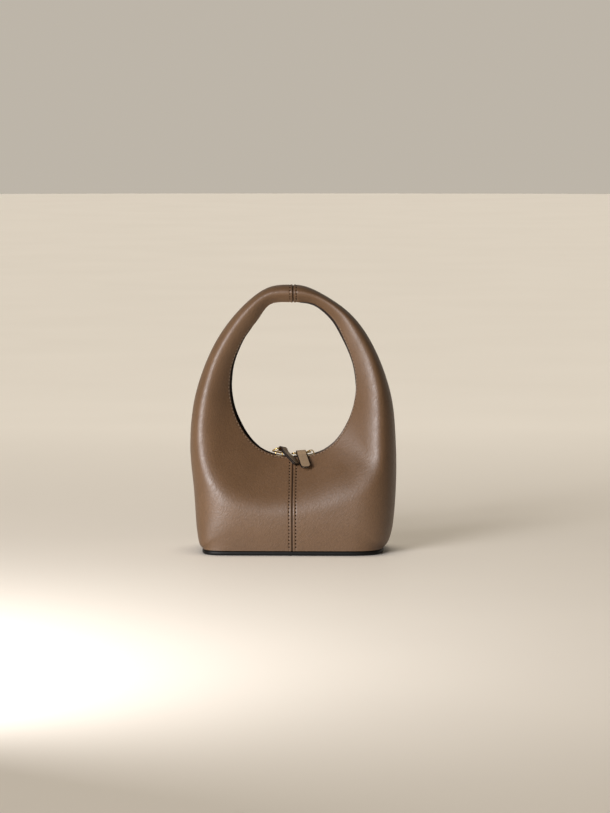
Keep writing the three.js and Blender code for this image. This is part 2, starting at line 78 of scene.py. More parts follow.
# %% [markdown]
# ## Sizes of the leather halves
# A half is described by fourteen sections, from the seam at the front of the mouth round the
# loop to the seam on top of the handle. In front view a section runs from the edge of the
# mouth to the rim. The rim is the outline of the base for the first six sections and the
# outer fold of the bag after that. The columns below hold one number for each section, so a
# dent or a wider arm is a change of one number.

# %% Sizes in millimetres
WALL = 1.8
FIT = 0.3
SEAM_GAP = 0.02  # the halves meet here, closer than the solids do
BASE_HALF_LENGTH, BASE_HALF_DEPTH = 91, 42
BASE_TURN, BASE_BEND_LENGTH = 45, 69
BASE_THICK, BASE_ROUND, BASE_LIP = 4.4, 1.5, 0.6
PANEL_FOOT = BASE_THICK + FIT
LEFT, RIGHT = -1, 1
FRONT, BACK = -1, 1
BASE_SQUARE = {LEFT: 5, RIGHT: 3.4}  # how boxy the turn to each end is, 2 being round
FOOT_SLANT = {LEFT: (18, -5), RIGHT: (14, -3)}  # at which the outer fold leaves the base

LEFT_HALF = dict(
    edge_x=[0, 15, 28.5, 38.8, 46.8, 53, 58, 61.8, 63.4, 60.4, 50, 36, 22.5, 0],
    edge_z=[95.8, 97, 101.4, 108.4, 117, 127, 137.5, 151, 167, 189, 213, 231.5, 248, 250],
    base=[0, 0.24, 0.45, 0.63, 0.81, 1],
    rim_x=[96.6, 99.8, 103.6, 98.6, 81.8, 58, 28.5, 0],
    rim_z=[22, 62, 108, 156, 203, 238.5, 263.6, 268],
    gap=[6.5, 6.5, 6.5, 6.5, 6.5, 6.5, 6.4, 6.2, 6, 5.6, 4.8, 1, 0.3, 0.3],
    slope=[0.9, 0.84, 0.79, 0.73, 0.68, 0.69, 0.75, 0.9, 1.05, 1.12, 1.16, 1.2, 1.3, 1.3],
    soft=[10, 8.5, 8, 8.5, 11, 15, 17, 17, 16, 15, 12, 10, 6, 6],
    lap=[0, 0, 0.2, 0.7, 1.4, 2.1, 2.7, 3, 3, 2.2, 0.8, 0, 0, 0],
)
RIGHT_HALF = dict(
    edge_x=[0, 15, 28.5, 38.8, 46.4, 52.4, 57.2, 61, 62.8, 60, 51, 39, 21, 0],
    edge_z=[95.8, 97, 101.4, 108.4, 117, 127, 137.5, 151, 167, 189, 213, 234, 248, 250],
    base=[0, 0.24, 0.45, 0.63, 0.81, 1],
    rim_x=[99, 103, 103.2, 98.4, 82, 58.6, 25, 0],
    rim_z=[21, 60, 106, 156, 203, 237.5, 261, 268],
    gap=[6.5, 6.5, 6.5, 6.5, 6.5, 6.5, 6.4, 6.2, 6, 5.6, 4.8, 1, 0.3, 0.3],
    slope=[0.9, 1, 1, 0.82, 0.71, 0.82, 1, 1.1, 1.04, 0.95, 0.98, 1.1, 1.3, 1.3],
    soft=[10, 15, 15, 11, 10, 13, 16, 16, 16, 16, 13, 8, 6, 6],
    lap=[0, 0, 0, 0, 0, 0, 0, 0.2, 0.7, 1.5, 2.2, 2, 1, 0],
)
HALVES = {LEFT: LEFT_HALF, RIGHT: RIGHT_HALF}
LAST_ROW = len(LEFT_HALF["edge_x"]) - 1
BASE_ROW = len(LEFT_HALF["base"]) - 1
TOP = LEFT_HALF["rim_z"][-1]

# The upright wall at even heights from its foot to the top of the handle: half depth, how
# far in from the outer fold it starts to turn, and how boxy that turn is.
WALL_DEPTH = [41.4, 46, 45.5, 41.5, 35.5, 29.5, 23.5, 18, 13.5, 11]
WALL_ROUND = [45, 47, 46, 40, 34, 28, 22, 16, 11, 9]
WALL_SQUARE = {
    side: [BASE_SQUARE[side], 3, 2.8, 2.6, 2.5, 2.4, 2.3, 2.2, 2.2, 2.2] for side in HALVES
}
print("sections per half:", LAST_ROW + 1, "of which on the base:", BASE_ROW + 1)

# %% [markdown]
# ## The leather as a surface
# Soft leather that is pulled over an edge has no flat faces, so it is worked out as one
# smooth surface. Between the sections each column follows a spline. The depth comes from two
# simple forms: a roof that slopes away from the mouth, and an upright wall that turns in at
# the outer fold. The surface is the lower of both, and the bend where they meet is softened.
# That bend is the shoulder line that catches the light on the front of the bag. The gap, the
# slope and the softness at a place are those of the nearest row of the mouth.


# %% Columns and curves in front view
def along(values, u, odd=False, first=None):
    """Catmull-Rom spline through a column at row number u. Past its ends an even column is
    mirrored and an odd one runs straight on, and first sets the value before the start."""
    values = np.asarray(values, float)
    start = 2 * values[0] - values[1] if odd else values[1]
    stop = 2 * values[-1] - values[-2] if odd else values[-2]
    knots = np.concatenate([[start if first is None else first], values, [stop]])
    i = np.clip(np.floor(u).astype(int), 0, len(values) - 2)
    f = u - i
    a, b, c, d = knots[i], knots[i + 1], knots[i + 2], knots[i + 3]
    bend = (2 * a - 5 * b + 4 * c - d) * f**2 + (3 * b - a - 3 * c + d) * f**3
    return b + 0.5 * ((c - a) * f + bend)


def base_outline(side, share, inset):
    """Quarter outline of the base from the front centre (0) to the end (1): a straight run,
    then a superellipse with powers of sine and cosine."""
    straight = BASE_HALF_LENGTH - BASE_TURN
    run = share * (straight + BASE_BEND_LENGTH)
    angle = np.clip((run - straight) / BASE_BEND_LENGTH, 0, 1) * np.pi / 2
    power = 2 / BASE_SQUARE[side]
    x = np.minimum(run, straight) + (BASE_TURN - inset) * np.sin(angle) ** power
    return x, (BASE_HALF_DEPTH - inset) * np.maximum(np.cos(angle), 0) ** power


def edge_at(side, u):
    """Edge of the mouth in front view at row u."""
    half = HALVES[side]
    return along(half["edge_x"], u, odd=True), along(half["edge_z"], u)


def rim_at(side, u):
    """Rim in front view at row u: on the base up to its last row, on the outer fold after."""
    half = HALVES[side]
    share = np.clip(along(half["base"], np.minimum(u, BASE_ROW), odd=True), 0, 1)
    foot_x, _ = base_outline(side, share, BASE_LIP)
    end_x, _ = base_outline(side, np.float64(1), BASE_LIP)
    v = np.maximum(u - BASE_ROW, 0)
    x = along([end_x, *half["rim_x"]], v, odd=True, first=end_x - FOOT_SLANT[side][0])
    z = along([PANEL_FOOT, *half["rim_z"]], v, first=PANEL_FOOT - FOOT_SLANT[side][1])
    on_base = u <= BASE_ROW
    return np.where(on_base, foot_x, x), np.where(on_base, PANEL_FOOT, z)


CURVE_STEPS = 240  # along each half of the mouth and of the outer fold
NEAR = 0.5  # places on the mouth this much farther than the nearest still count


def front_curve(at, first):
    """Points of an edge or rim from the left half over the top to the right half."""
    u = np.linspace(LAST_ROW, first, CURVE_STEPS + 1)
    left = np.stack(at(LEFT, u), -1) * (-1, 1)
    return np.concatenate([left[::-1], np.stack(at(RIGHT, u), -1)[1:]])


MOUTH_CURVE = front_curve(edge_at, 0)
MOUTH_ROWS = LAST_ROW * (1 - np.abs(np.linspace(-1, 1, 2 * CURVE_STEPS + 1)))
FOLD_CURVE = front_curve(rim_at, BASE_ROW)
MOUTH_SPAN = np.ptp(MOUTH_CURVE, axis=0)
print("mouth, width and height in mm:", MOUTH_SPAN.round(1).tolist())


# %% Depth of the bag and points on its leather
def distance(curve, x, z):
    """Shortest way from places in front view to a curve made of short straight pieces."""
    start, step = curve[:-1], np.diff(curve, axis=0)
    away = np.stack([x, z], -1)[..., None, :] - start
    share = np.clip((away * step).sum(-1) / (step * step).sum(-1), 0, 1)
    away = away - share[..., None] * step
    return np.sqrt((away**2).sum(-1).min(-1))


def nearest_row(x, z):
    """Row of the mouth's edge that lies nearest: the mean of its rows, weighted by how little
    farther than the nearest they lie."""
    way = np.linalg.norm(np.stack([x, z], -1)[..., None, :] - MOUTH_CURVE, axis=-1)
    weight = np.exp((way.min(-1, keepdims=True) - way) / NEAR)
    return (weight * MOUTH_ROWS).sum(-1) / weight.sum(-1)


def half_depth(side, x, z, in_mouth):
    """Half depth: the softened lower one of the sloping roof, gap plus slope times the way
    from the mouth, and the wall, depth times a rounded turn that starts at the outer fold."""
    level = np.maximum((z - PANEL_FOOT) / (TOP - PANEL_FOOT), 0) * (len(WALL_DEPTH) - 1)
    columns = WALL_DEPTH, WALL_ROUND, WALL_SQUARE[side]
    depth, turn, square = (along(c, level, odd=True) for c in columns)
    left_over = np.maximum(1 - distance(FOLD_CURVE, x, z) / turn, 0)
    wall = depth * (1 - left_over**square) ** (1 / square)
    row = nearest_row(x, z)
    gap, slope, soft = (along(HALVES[side][c], row) for c in ("gap", "slope", "soft"))
    roof = gap + np.where(in_mouth, 0, slope * distance(MOUTH_CURVE, x, z))
    h = np.clip(0.5 + 0.5 * (roof - wall) / soft, 0, 1)
    return roof + h * (wall - roof) - soft * h * (1 - h)


def leather(side, face, u, w):
    """Outside of a half at section u, from the mouth (w = 0) to the rim (w = 1)."""
    (edge_x, edge_z), (rim_x, rim_z) = edge_at(side, u), rim_at(side, u)
    lap = np.maximum(along(HALVES[side]["lap"], u), 0) if face == BACK else 0
    start = -lap / np.hypot(rim_x - edge_x, rim_z - edge_z)
    s = start + (1 - start) * w
    x = edge_x + s * (rim_x - edge_x)
    z = edge_z + s * (rim_z - edge_z)
    y = half_depth(side, side * x, z, s <= 0)
    y = np.where((w == 1) & (u >= BASE_ROW), 0, y)
    return np.stack([side * (x + SEAM_GAP / 2), face * y, z], -1)


def unit(vectors):
    """Vectors divided by their own length."""
    return vectors / np.linalg.norm(vectors, axis=-1, keepdims=True)


def leather_normal(side, face, u, w):
    """Outward normal from small steps to both sides. It lies in the seam plane at the seams
    and in the middle plane along the outer fold, so that neighbours meet cleanly."""
    du, dw = 0.02, 0.01
    u0, u1 = np.maximum(u - du, 0), np.minimum(u + du, LAST_ROW)
    w0, w1 = np.maximum(w - dw, 0), np.minimum(w + dw, 1)
    along_u = leather(side, face, u1, w) - leather(side, face, u0, w)
    along_w = leather(side, face, u, w1) - leather(side, face, u, w0)
    normal = np.cross(along_u, along_w) * side * face
    normal[..., 0] *= (u > 0) & (u < LAST_ROW)
    normal[..., 1] *= ~((w == 1) & (u >= BASE_ROW))
    return unit(normal)


mouth_front = leather(LEFT, FRONT, np.zeros(1), np.zeros(1))[0]
print("lowest point of the mouth's front edge in mm:", mouth_front.round(1).tolist())

# %% [markdown]
# ## From grids of points to pieces
# Every piece is one or more grids of points. A grid becomes a sheet of four-sided faces,
# sheets that share an edge are welded, and the closed result is turned outwards. One
# function does this for all pieces, so each piece below is only its formula.


# %% Making a piece
WELD = 1e-7  # metres: points closer than this become one
SPECK = 1e-8  # metres: edges shorter than this are dropped


def make_piece(name, sheets, materials, node=None, marks=None):
    """Welds grids (rows, columns, 3) in millimetres into one closed mesh that rides on the
    bag. sheets holds (grid, material number or one number per face), and marks one float
    per point for each named attribute."""
    points, faces, looks = [], [], []
    count = 0
    for grid, look in sheets:
        rows, columns = grid.shape[:2]
        index = np.arange(rows * columns).reshape(rows, columns) + count
        corners = [index[:-1, :-1], index[1:, :-1], index[1:, 1:], index[:-1, 1:]]
        faces.append(np.stack(corners, -1).reshape(-1, 4))
        looks.append(np.broadcast_to(look, (rows - 1, columns - 1)).ravel())
        points.append(grid.reshape(-1, 3))
        count += rows * columns
    mesh = bpy.data.meshes.new(name)
    mesh.from_pydata(np.concatenate(points) * MM, [], np.concatenate(faces))
    mesh.polygons.foreach_set("material_index", np.concatenate(looks).astype(np.int32))
    for mark, values in (marks or {}).items():
        flat = np.concatenate([np.ravel(v) for v in values]).astype(np.float32)
        mesh.attributes.new(mark, "FLOAT", "POINT").data.foreach_set("value", flat)
    solid = bmesh.new()
    solid.from_mesh(mesh)
    bmesh.ops.remove_doubles(solid, verts=solid.verts, dist=WELD)
    bmesh.ops.dissolve_degenerate(solid, edges=solid.edges, dist=SPECK)
    bmesh.ops.recalc_face_normals(solid, faces=solid.faces)
    open_edges = sum(1 for edge in solid.edges if not edge.is_manifold)
    solid.to_mesh(mesh)
    solid.free()
    mesh.shade_smooth()
    for material in materials:
        mesh.materials.append(material)
    piece = bpy.data.objects.new(name, mesh)
    bpy.context.scene.collection.objects.link(piece)
    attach(piece, "root")
    if node:
        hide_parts(node)
    print(f"{name}: {len(mesh.polygons)} faces, {open_edges} open edges")


# %% [markdown]
# ## Finishes
# A finish is a small net of nodes. One function adds a node, sets it up and links it.
# Colours are written as they look on a screen and turned to linear light by one function.


# %% Nodes and colours
def add(tree, kind, inputs=None, **settings):
    """Adds a node, sets its options, and fills its sockets with values or links."""
    node = tree.nodes.new(kind)
    for name, value in settings.items():
        setattr(node, name, value)
    for name, value in (inputs or {}).items():
        if isinstance(value, bpy.types.NodeSocket):
            tree.links.new(value, node.inputs[name])
        else:
            node.inputs[name].default_value = value
    return node


def linear(hex_colour):
    """sRGB hex to linear light with full alpha: the standard curve with its straight toe."""
    srgb = np.array([int(hex_colour[i : i + 2], 16) for i in (1, 3, 5)]) / 255
    toe, curve = srgb / 12.92, ((srgb + 0.055) / 1.055) ** 2.4
    return (*np.where(srgb <= 0.04045, toe, curve).tolist(), 1.0)


def finish(name, **sockets):
    """A material with one Principled shader whose plain sockets are set directly."""
    material = bpy.data.materials.new(name)
    material.use_nodes = True
    shader = material.node_tree.nodes["Principled BSDF"]
    for socket, value in sockets.items():
        shader.inputs[socket.replace("_", " ")].default_value = value
    return material, material.node_tree, shader


def two_tones(tree, value, dark, light):
    """A ramp that runs from one tone to the other as a texture's value grows."""
    ramp = add(tree, "ShaderNodeValToRGB", {"Fac": value})
    ramp.color_ramp.elements[0].color = linear(dark)
    ramp.color_ramp.elements[1].color = linear(light)
    return ramp


print("middle grey in linear light:", round(linear("#808080")[0], 3))

# %% [markdown]
# ## Leather
# The skin is smooth calf leather, drum-dyed taupe, with a satin finish. Its grain is a fine
# net of creases about half a millimetre wide that runs aslant over the front. At one pixel
# a millimetre such a grain would vanish, so it is drawn about twice as coarse. A weak
# cloudiness comes from the dye. Towards seams and edges the leather is rubbed darker. The
# pulls have the same finish with a lighter dye, so they come out paler than the halves.

# %% Taupe leather
GRAIN_MM = 1.05
GRAIN_TURN, GRAIN_STRETCH = (0.0, 0.7, 0.15), (1, 1, 2.5)  # radians, and how long to wide
CLOUD_MM = 38.0
DYE, PORE = ("#5d432a", "#654a31"), "#4f3924"
PALE_DYE, PALE_PORE = ("#8d765a", "#988165"), "#7e6850"
RUBBED = "#2c1f15"
taupe, tree, shader = finish(
    "calf leather, drum-dyed taupe, satin", IOR=1.5, Specular_IOR_Level=0.7
)
place = add(tree, "ShaderNodeTexCoord").outputs["Object"]
slant = add(
    tree,
    "ShaderNodeMapping",
    {"Vector": place, "Rotation": GRAIN_TURN, "Scale": GRAIN_STRETCH},
    vector_type="TEXTURE",
)
grain = add(
    tree,
    "ShaderNodeTexVoronoi",
    {"Vector": slant.outputs[0], "Scale": 1 / (GRAIN_MM * MM), "Smoothness": 0.6},
    feature="SMOOTH_F1",
)
fine = add(
    tree,
    "ShaderNodeTexNoise",
    {"Vector": slant.outputs[0], "Scale": 0.45 / (GRAIN_MM * MM), "Detail": 5.0, "Roughness": 0.6},
)
relief = add(
    tree,
    "ShaderNodeMix",
    {"Factor": 0.45, "A": grain.outputs["Distance"], "B": fine.outputs["Fac"]},
)
bump = add(
    tree,
    "ShaderNodeBump",
    {"Height": relief.outputs["Result"], "Strength": 0.6, "Distance": 0.4 * MM},
)
tree.links.new(bump.outputs[0], shader.inputs["Normal"])
cloud = add(
    tree, "ShaderNodeTexNoise", {"Vector": place, "Scale": 1 / (CLOUD_MM * MM), "Detail": 3.0}
)
dye = two_tones(tree, cloud.outputs["Fac"], *DYE)
dye.color_ramp.elements[0].position, dye.color_ramp.elements[1].position = 0.3, 0.7
pores = add(
    tree,
    "ShaderNodeMix",
    {"A": dye.outputs["Color"], "B": linear(PORE), "Factor": 0.0},
    data_type="RGBA",
)
creases = add(
    tree,
    "ShaderNodeMapRange",
    {"Value": grain.outputs["Distance"], "From Min": 0.25, "From Max": 0.8, "To Max": 0.5},
)
tree.links.new(creases.outputs[0], pores.inputs["Factor"])
rubbed = add(tree, "ShaderNodeAttribute", attribute_name="to_edge")
worn = add(
    tree,
    "ShaderNodeMapRange",
    {
        "Value": rubbed.outputs["Fac"],
        "From Min": 0.1,
        "From Max": 1.3,
        "To Min": 0.75,
        "To Max": 0.0,
    },
)
skin = add(
    tree,
    "ShaderNodeMix",
    {"A": pores.outputs["Result"], "B": linear(RUBBED), "Factor": worn.outputs[0]},
    data_type="RGBA",
)
tree.links.new(skin.outputs["Result"], shader.inputs["Base Color"])
gloss = add(
    tree,
    "ShaderNodeMapRange",
    {
        "Value": fine.outputs["Fac"],
        "From Min": 0.3,
        "From Max": 0.7,
        "To Min": 0.42,
        "To Max": 0.56,
    },
)
tree.links.new(gloss.outputs[0], shader.inputs["Roughness"])
print("grain drawn at", GRAIN_MM, "mm")

# %% Paler leather for the pulls
pale_taupe = taupe.copy()
pale_taupe.name = "calf leather, drum-dyed pale taupe, satin"
pale_ramp = pale_taupe.node_tree.nodes[dye.name].color_ramp
for stop, tone in zip(pale_ramp.elements, PALE_DYE):
    stop.color = linear(tone)
pale_taupe.node_tree.nodes[pores.name].inputs["B"].default_value = linear(PALE_PORE)
print("paler copy of the leather:", pale_taupe.name)

# %% [markdown]
# ## Dark finishes, thread and metal
# The flesh side of the leather, the base and the painted edges of the pulls are almost
# black. The flesh side's near-black is partly a dark stain and partly painted shade of the
# bag's inside, seen through the mouth. The zip tape is a tightly woven dark cotton. The
# thread is waxed and lighter than the leather. In all of them one pattern, such as a nap or a
# weave, is seen both as a change of tone and as a relief, so one function makes them and only
# the pattern differs.
# The metal is brass with a polished gold plating. Its wear shows in its gloss instead.


# %% A finish from one pattern
def noise(width, detail):
    """A cloudy pattern with flecks of a width in millimetres."""
    return "ShaderNodeTexNoise", {"Scale": 1 / (width * MM), "Detail": detail}, {}, "Fac"


def patterned(name, pattern, tones, relief, **sockets):
    """A finish in which one pattern shifts the colour between two tones and raises the
    surface. pattern holds the kind of texture, its sockets, its options and the output that
    is read, and relief the strength of the bump and its depth in millimetres."""
    material, tree, shader = finish(name, **sockets)
    kind, inputs, options, output = pattern
    strength, depth = relief
    place = add(tree, "ShaderNodeTexCoord").outputs["Object"]
    value = add(tree, kind, {"Vector": place, **inputs}, **options).outputs[output]
    tone = two_tones(tree, value, *tones)
    tree.links.new(tone.outputs["Color"], shader.inputs["Base Color"])
    bump = add(
        tree, "ShaderNodeBump", {"Height": value, "Strength": strength, "Distance": depth * MM}
    )
    tree.links.new(bump.outputs[0], shader.inputs["Normal"])
    return material


# %% Flesh side, base, edge paint and tape
NAP_MM, HIDE_MM, BRUSH_MM, TWILL_MM = 1.2, 1.4, 1.5, 0.9
hide = (
    "ShaderNodeTexVoronoi",
    {"Scale": 1 / (HIDE_MM * MM), "Smoothness": 0.6},
    {"feature": "SMOOTH_F1"},
    "Distance",
)
weave = (
    "ShaderNodeTexWave",
    {"Scale": 1 / (TWILL_MM * MM) / 3, "Distortion": 0.6, "Detail": 1.0},
    {"bands_direction": "DIAGONAL"},
    "Fac",
)
# The flesh side is near-black partly as painted shade of the bag's inside.
flesh = patterned(
    "leather flesh side, dark stain and painted shade",
    noise(NAP_MM, 4.0),
    ("#140e0a", "#241a13"),
    (0.5, 0.3),
    Roughness=0.85,
    IOR=1.45,
)
board = patterned(
    "base leather, dark brown, polished edge",
    hide,
    ("#0c0a09", "#070605"),
    (0.2, 0.2),
    Roughness=0.5,
    Specular_IOR_Level=0.22,
)
paint = patterned(
    "edge paint, black, brushed on",
    noise(BRUSH_MM, 2.0),
    ("#120d0b", "#1e1714"),
    (0.3, 0.2),
    Roughness=0.5,
    Specular_IOR_Level=0.2,
)
twill = patterned(
    "zip tape, dark cotton, woven",
    weave,
    ("#130f0c", "#2a221c"),
    (0.6, 0.25),
    Roughness=0.9,
    IOR=1.45,
)
print("dark finishes:", [material.name for material in (flesh, board, paint, twill)])

# %% Thread and needle holes
FIBRE_MM = 0.8


def thread_finish(name, dark, light, wax):
    """Thread: small flecks between two tones, and a gloss that grows with its wax."""
    flecks = noise(FIBRE_MM, 2.0)
    tones, relief = (dark, light), (0.4, 0.1)
    return patterned(name, flecks, tones, relief, Roughness=0.6, Specular_IOR_Level=wax)


pale_thread = thread_finish("waxed thread, pale sand", "#745f4b", "#87715d", 0.4)
brown_thread = thread_finish("waxed thread, taupe", "#6b5440", "#7a624d", 0.4)
# A needle hole's near-black is painted shade: the hole is a flat bead, not cut into the leather.
needle_hole_painted_shade = thread_finish("needle hole, painted shade", "#21160e", "#2c1f15", 0.0)
print("threads:", pale_thread.name, "and", brown_thread.name)

# %% Gold
WEAR_MM = 2.5
gold, tree, shader = finish("brass, gold-plated, polished", Metallic=1.0, Roughness=0.2)
place = add(tree, "ShaderNodeTexCoord").outputs["Object"]
wear = add(
    tree, "ShaderNodeTexNoise", {"Vector": place, "Scale": 1 / (WEAR_MM * MM), "Detail": 3.0}
)
tone = two_tones(tree, wear.outputs["Fac"], "#c9a35c", "#e2c684")
tree.links.new(tone.outputs["Color"], shader.inputs["Base Color"])
gloss = add(
    tree, "ShaderNodeMapRange", {"Value": wear.outputs["Fac"], "To Min": 0.14, "To Max": 0.3}
)
tree.links.new(gloss.outputs[0], shader.inputs["Roughness"])
print("finishes:", len(bpy.data.materials))

# %% [markdown]
# ## The two leather halves
# A half is a sheet with a thickness: an outer face, an inner face and the cut edges between
# them. The outer face also carries the small relief of the sewing. At the centre seams the
# leather is folded in, which leaves a groove between two raised lips, and the thread pulls a
# shallow furrow beside them. At the mouth the edge is rounded and sewn a little way in.


# %% Relief of the sewing
SEAM_LIP = 3.3  # from the centre seam to its thread
EDGE_SEAM = 2.1  # from the edge of the mouth to its thread
EDGE_ROUND = 0.9
GROOVE_DEPTH, GROOVE_WIDTH = 1.0, 0.5  # where the leather is folded in at a centre seam
LIP_AT, LIP_HEIGHT, LIP_WIDTH = 1.7, 0.3, 1.0  # the raised leather beside it
SEAM_FURROW, EDGE_FURROW, FURROW_WIDTH = 0.3, 0.22, 0.6  # pulled in by the thread
DEEPEST = 1.5  # where a groove meets the edge, the relief goes no deeper


def hollow(t, middle, width):
    """A soft furrow of depth one: a bell curve round its middle."""
    return np.exp(-(((t - middle) / width) ** 2))


def seam_relief(t):
    """Height over the leather at a way t from a centre seam: the groove, the lip and the
    furrow of the thread."""
    groove = GROOVE_DEPTH * hollow(t, 0, GROOVE_WIDTH)
    lip = LIP_HEIGHT * hollow(t, LIP_AT, LIP_WIDTH)
    furrow = SEAM_FURROW * hollow(t, SEAM_LIP, FURROW_WIDTH)
    return lip - groove - furrow


def edge_relief(t):
    """Height at a way t from the edge of the mouth: a rounded corner and a furrow."""
    rest = np.maximum(EDGE_ROUND - t, 0)
    corner = EDGE_ROUND - np.sqrt(np.maximum(EDGE_ROUND**2 - rest**2, 0))
    return -corner - EDGE_FURROW * hollow(t, EDGE_SEAM, FURROW_WIDTH)


def edge_run(side, face, u):
    """Millimetres of leather for one whole w, measured next to the mouth."""
    probe = 0.02
    edge = leather(side, face, u, np.zeros_like(u))
    step = leather(side, face, u, np.full_like(u, probe)) - edge
    return np.linalg.norm(step, axis=-1) / probe


print("from the centre seam to its lip and its thread in mm:", LIP_AT, SEAM_LIP)

# %% Building the halves
FRONT_FINE, TOP_FINE = 0.42, 0.26  # rows beside the centre seams in which the grid is finer
EDGE_FINE = 0.07  # share of a section beside the mouth in which the grid is finer
RIM_CROWD = 2.2  # power with which the points crowd towards the rim
U = np.concatenate(
    [
        np.linspace(0, FRONT_FINE, 22)[:-1],
        np.linspace(FRONT_FINE, BASE_ROW, 46)[:-1],
        np.linspace(BASE_ROW, LAST_ROW - TOP_FINE, 80)[:-1],
        np.linspace(LAST_ROW - TOP_FINE, LAST_ROW, 18),
    ]
)
crowded = 1 - (1 - np.linspace(0, 1, 44)) ** RIM_CROWD
W = np.concatenate([np.linspace(0, EDGE_FINE, 16)[:-1], EDGE_FINE + (1 - EDGE_FINE) * crowded])


def half_sheets(side):
    """Outer and inner face and the cut edges of a half, and how far each point of them lies
    from the nearest sewn edge."""
    sheets, to_edge = [], []
    u, w = np.meshgrid(U, W, indexing="ij")
    for face in (FRONT, BACK):
        bare = leather(side, face, u, w)
        normal = leather_normal(side, face, u, w)
        from_seam = np.abs(bare[..., 0]) - SEAM_GAP / 2
        from_edge = w * edge_run(side, face, U)[:, None]
        rise = seam_relief(from_seam) + edge_relief(from_edge)
        outer = bare + normal * np.maximum(rise, -DEEPEST)[..., None]
        inner = bare - normal * WALL
        outer[..., 2] = np.maximum(outer[..., 2], PANEL_FOOT)
        inner[..., 2] = np.maximum(inner[..., 2], PANEL_FOOT)
        outer[[0, -1], :, 0] = bare[[0, -1], :, 0]
        edges = [
            np.stack([outer[:, 0], inner[:, 0]], 1),
            np.stack([outer[0], inner[0]], 1),
            np.stack([outer[-1], inner[-1]], 1),
            np.stack([outer[U <= BASE_ROW, -1], inner[U <= BASE_ROW, -1]], 1),
        ]
        sheets += [(outer, 0), (inner, 1)] + [(edge, 0) for edge in edges]
        to_edge.append(np.minimum(from_seam, from_edge))
        to_edge += [np.zeros(grid.shape[:2]) for grid in (inner, *edges)]
    return sheets, to_edge


for side, name in ((LEFT, "left_panel"), (RIGHT, "right_panel")):
    sheets, to_edge = half_sheets(side)
    # The inner faces take the flesh finish, whose near-black is partly painted shade.
    make_piece(name + "_leather", sheets, [taupe, flesh], name, {"to_edge": to_edge})

# %% [markdown]
# ## Base
# The base is a firm plate wrapped in dark leather. Its rounded edge stands out a little
# under the halves. The outline is carried along a profile that goes from the middle of the
# underside round the edge to the middle of the top.


# %% Base
OUTLINE_POINTS, ROUND_POINTS = 61, 7  # on a quarter of the outline, on a rounded edge


def base_ring(inset, z):
    """Whole outline of the base, drawn in by inset, at height z: a quarter and its mirrors."""
    share = np.linspace(0, 1, OUTLINE_POINTS)
    halves = []
    for side in (RIGHT, LEFT):
        x, y = base_outline(side, share, inset)
        quarter = np.stack([side * x, -y], -1)
        halves.append(np.concatenate([quarter, (quarter * (1, -1))[::-1][1:]]))
    ring = np.concatenate([halves[0], halves[1][::-1][1:]])
    return np.concatenate([ring, np.full((len(ring), 1), z)], 1)


corner = np.linspace(0, np.pi / 2, ROUND_POINTS)
profile = [(BASE_ROUND * (1 - np.sin(a)), BASE_ROUND * (1 - np.cos(a))) for a in corner]
profile += [(inset, BASE_THICK - z) for inset, z in profile[::-1]]
rings = [base_ring(inset, z) for inset, z in profile]
middle = [ring * (0, 0, 1) for ring in (rings[0], rings[-1])]
base_grid = np.stack([middle[0], *rings, middle[1]])
make_piece("base_plate", [(base_grid, 0)], [board], "base")

# %% [markdown]
# ## Zip
# The zip lies between the edges of the mouth, a little inside. Its frame at a place q, from
# the left end (-1) over the lowest point (0) to the right end (1), is found from the points
# behind both leather edges. The tapes are ribbons, and the teeth are one small rounded block
# repeated along the middle line, turned to either side in turn.

# %% Frame of the zip
TAPE_THICK, TAPE_INSET, TAPE_LAP = 0.8, 2.4, 7
CHAIN_HALF, CHAIN_ABOVE, CHAIN_BELOW = 2.3, 0.5, 1.5
ZIP_END = 10  # row of the mouth at which the zip ends
ZIP_POINTS = 181


def behind_edge(face, q, run, depth):
    """Point a given way down from the leather edge and behind the leather."""
    point = np.zeros((len(q), 3))
    for side in (LEFT, RIGHT):
        here = (q < 0) == (side == LEFT)
        u = np.abs(q[here]) * ZIP_END
        w = run / edge_run(side, face, u)
        place = leather(side, face, u, w) - depth * leather_normal(side, face, u, w)
        point[here] = place - np.array([side * SEAM_GAP / 2, 0, 0])
    return point


def zip_frame(q):
    """Middle of the zip, its direction and the way into the bag."""
    q = np.atleast_1d(np.asarray(q, float))

    def middle(at):
        """Mean of the points behind both leather edges, in the middle plane."""
        pair = [behind_edge(face, at, TAPE_INSET, WALL + FIT) for face in (FRONT, BACK)]
        return np.mean(pair, axis=0) * (1, 0, 1)

    step = 0.01
    tangent = unit(middle(np.minimum(q + step, 1)) - middle(np.maximum(q - step, -1)))
    inward = np.stack([tangent[:, 2], np.zeros(len(q)), -tangent[:, 0]], -1)
    return middle(q), tangent, inward


q = np.linspace(-1, 1, ZIP_POINTS)
origin, tangent, inward = zip_frame(q)
zip_length = np.concatenate([[0], np.linalg.norm(np.diff(origin, axis=0), axis=1).cumsum()])
print("length of the zip in mm:", round(zip_length[-1], 1))

# %% Tapes
for face, name in ((FRONT, "zip_tape_front"), (BACK, "zip_tape_back")):
    near = origin + np.array([0, face * (CHAIN_HALF + FIT), 0])
    depth = WALL + 2 * FIT
    outer = np.stack(
        [near, behind_edge(face, q, TAPE_INSET, depth), behind_edge(face, q, TAPE_LAP, depth)], 1
    )
    inner = np.stack(
        [
            near + inward * TAPE_THICK,
            behind_edge(face, q, TAPE_INSET + TAPE_THICK, depth + TAPE_THICK),
            behind_edge(face, q, TAPE_LAP, depth + TAPE_THICK),
        ],
        1,
    )
    ring = np.concatenate([outer, inner[:, ::-1], outer[:, :1]], 1)
    caps = [np.stack([outer[i], inner[i]], 0) for i in (0, -1)]
    make_piece(name + "_woven", [(ring, 0), (caps[0], 0), (caps[1], 0)], [twill], name)

